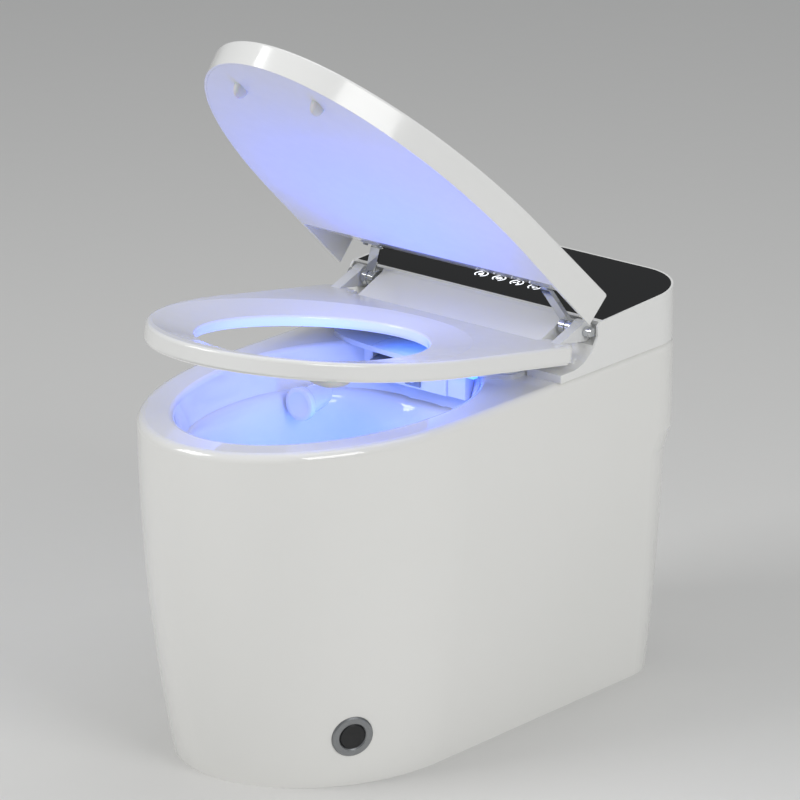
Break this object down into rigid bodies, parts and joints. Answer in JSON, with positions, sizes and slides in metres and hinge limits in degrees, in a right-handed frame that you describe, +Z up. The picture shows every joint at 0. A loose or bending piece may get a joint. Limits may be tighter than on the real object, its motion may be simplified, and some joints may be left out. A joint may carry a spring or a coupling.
{
  "type": "bidet toilet",
  "caption": "Floor-standing skirted bidet toilet with heated seat, flat lid part-way open, black touch panel, wash wand, foot button and lit bowl.",
  "frame": {"origin": "centre of the floor outlet, on the floor", "axes": "+Z up, -Y towards the front of the toilet, +X to its left-hand side as seen by someone sitting on it"},
  "size_m": [0.3916, 0.715, 0.8602],
  "materials": {
    "glazed_ceramic": "clear glaze",
    "white_gloss_plastic": "moulded gloss",
    "white_satin_plastic": "moulded satin",
    "lid_liner_plastic": "moulded gloss",
    "black_glass": "polished black panel",
    "hinge_chrome": "polished",
    "bezel_steel": "satin",
    "black_plastic": "moulded",
    "buffer_rubber": "moulded",
    "seal_rubber": "moulded",
    "light_lens": "lit lens",
    "circuit_board": "lacquered",
    "grey_plastic": "moulded",
    "motor_steel": "plated",
    "wand_steel": "polished",
    "brass_fitting": "turned",
    "heater_foil": "foil",
    "carbon_pad": "pressed",
    "hose_rubber": "smooth",
    "screw_steel": "plated"
  },
  "bodies": {
    "base": {"ceramic_pan": "glazed_ceramic", "swirl_jet": "white_gloss_plastic", "floor_seal": "seal_rubber", "base_plate": "white_satin_plastic", "rear_housing": "white_gloss_plastic", "control_glass": "black_glass", "touch_board": "circuit_board", "hinge_pin_left": "hinge_chrome", "hinge_pin_right": "hinge_chrome", "nozzle_guide": "grey_plastic", "nozzle_motor": "motor_steel", "dryer_duct": "grey_plastic", "dryer_case": "black_plastic", "deodoriser_case": "black_plastic", "carbon_filter": "carbon_pad", "lid_drive": "grey_plastic", "seat_drive": "grey_plastic", "main_board": "circuit_board", "night_light": "light_lens", "water_inlet": "brass_fitting", "cord_gland": "black_plastic", "solenoid_valve": "black_plastic", "flush_pump": "black_plastic", "water_heater": "grey_plastic", "power_supply": "black_plastic", "wash_hose": "hose_rubber", "supply_hose": "hose_rubber", "foot_button_bezel": "bezel_steel", "foot_switch": "black_plastic", "plate_screws": "screw_steel"},
    "seat": {"seat_top_shell": "white_gloss_plastic", "seat_base": "white_gloss_plastic", "seat_heater": "heater_foil", "seat_buffers": "buffer_rubber", "seat_hinge_lug_left": "white_satin_plastic", "seat_hinge_lug_right": "white_satin_plastic"},
    "lid": {"lid_shell": "white_gloss_plastic", "lid_liner": "lid_liner_plastic", "lid_buffers": "buffer_rubber", "lid_hinge_arm_left": "hinge_chrome", "lid_hinge_arm_right": "hinge_chrome", "lid_arm_screws": "screw_steel"},
    "wand": {"nozzle_wand": "wand_steel", "nozzle_tip": "white_satin_plastic", "nozzle_rack": "black_plastic"},
    "pinion": {"nozzle_pinion": "white_satin_plastic"},
    "flap": {"dryer_flap": "white_satin_plastic"},
    "dryer_fan": {"dryer_impeller": "grey_plastic"},
    "deodoriser_fan": {"deodoriser_impeller": "grey_plastic"},
    "button": {"foot_button_cap": "black_plastic"}
  },
  "joints": [
    {"name": "seat_hinge", "type": "hinge", "parent": "base", "child": "seat", "pos_m": [0, 0.088, 0.466], "axis": [-1, 0, 0], "range_deg": [-9.5, 52]},
    {"name": "lid_hinge", "type": "hinge", "parent": "seat", "child": "lid", "pos_m": [0, 0.088, 0.466], "axis": [1, 0, 0], "range_deg": [-52, 34.2]},
    {"name": "nozzle_slide", "type": "slide", "parent": "base", "child": "wand", "axis": [0, -0.9781, -0.2079], "range_m": [0, 0.085]},
    {"name": "pinion_spin", "type": "hinge", "parent": "base", "child": "pinion", "pos_m": [0.0189, 0.0876, 0.42187], "axis": [0, -0.2079, 0.9781], "range_deg": [0, 610]},
    {"name": "dryer_flap_swing", "type": "hinge", "parent": "base", "child": "flap", "pos_m": [-0.047, -0.02298, 0.40726], "axis": [-1, 0, 0], "range_deg": [0, 70]},
    {"name": "dryer_fan_spin", "type": "hinge", "parent": "base", "child": "dryer_fan", "pos_m": [-0.06, 0.152, 0.44], "axis": [0, 0, 1], "continuous": true},
    {"name": "deodoriser_fan_spin", "type": "hinge", "parent": "base", "child": "deodoriser_fan", "pos_m": [0.095, 0.166, 0.438], "axis": [0, 0, 1], "continuous": true},
    {"name": "foot_button_press", "type": "slide", "parent": "base", "child": "button", "axis": [-0.8691, 0.4817, 0.1127], "range_m": [0, 0.004], "stiffness_N_per_m": 900}
  ],
  "couplings": [
    {"joint": "pinion_spin", "follows": "nozzle_slide", "rad_per_m": 125}
  ]
}
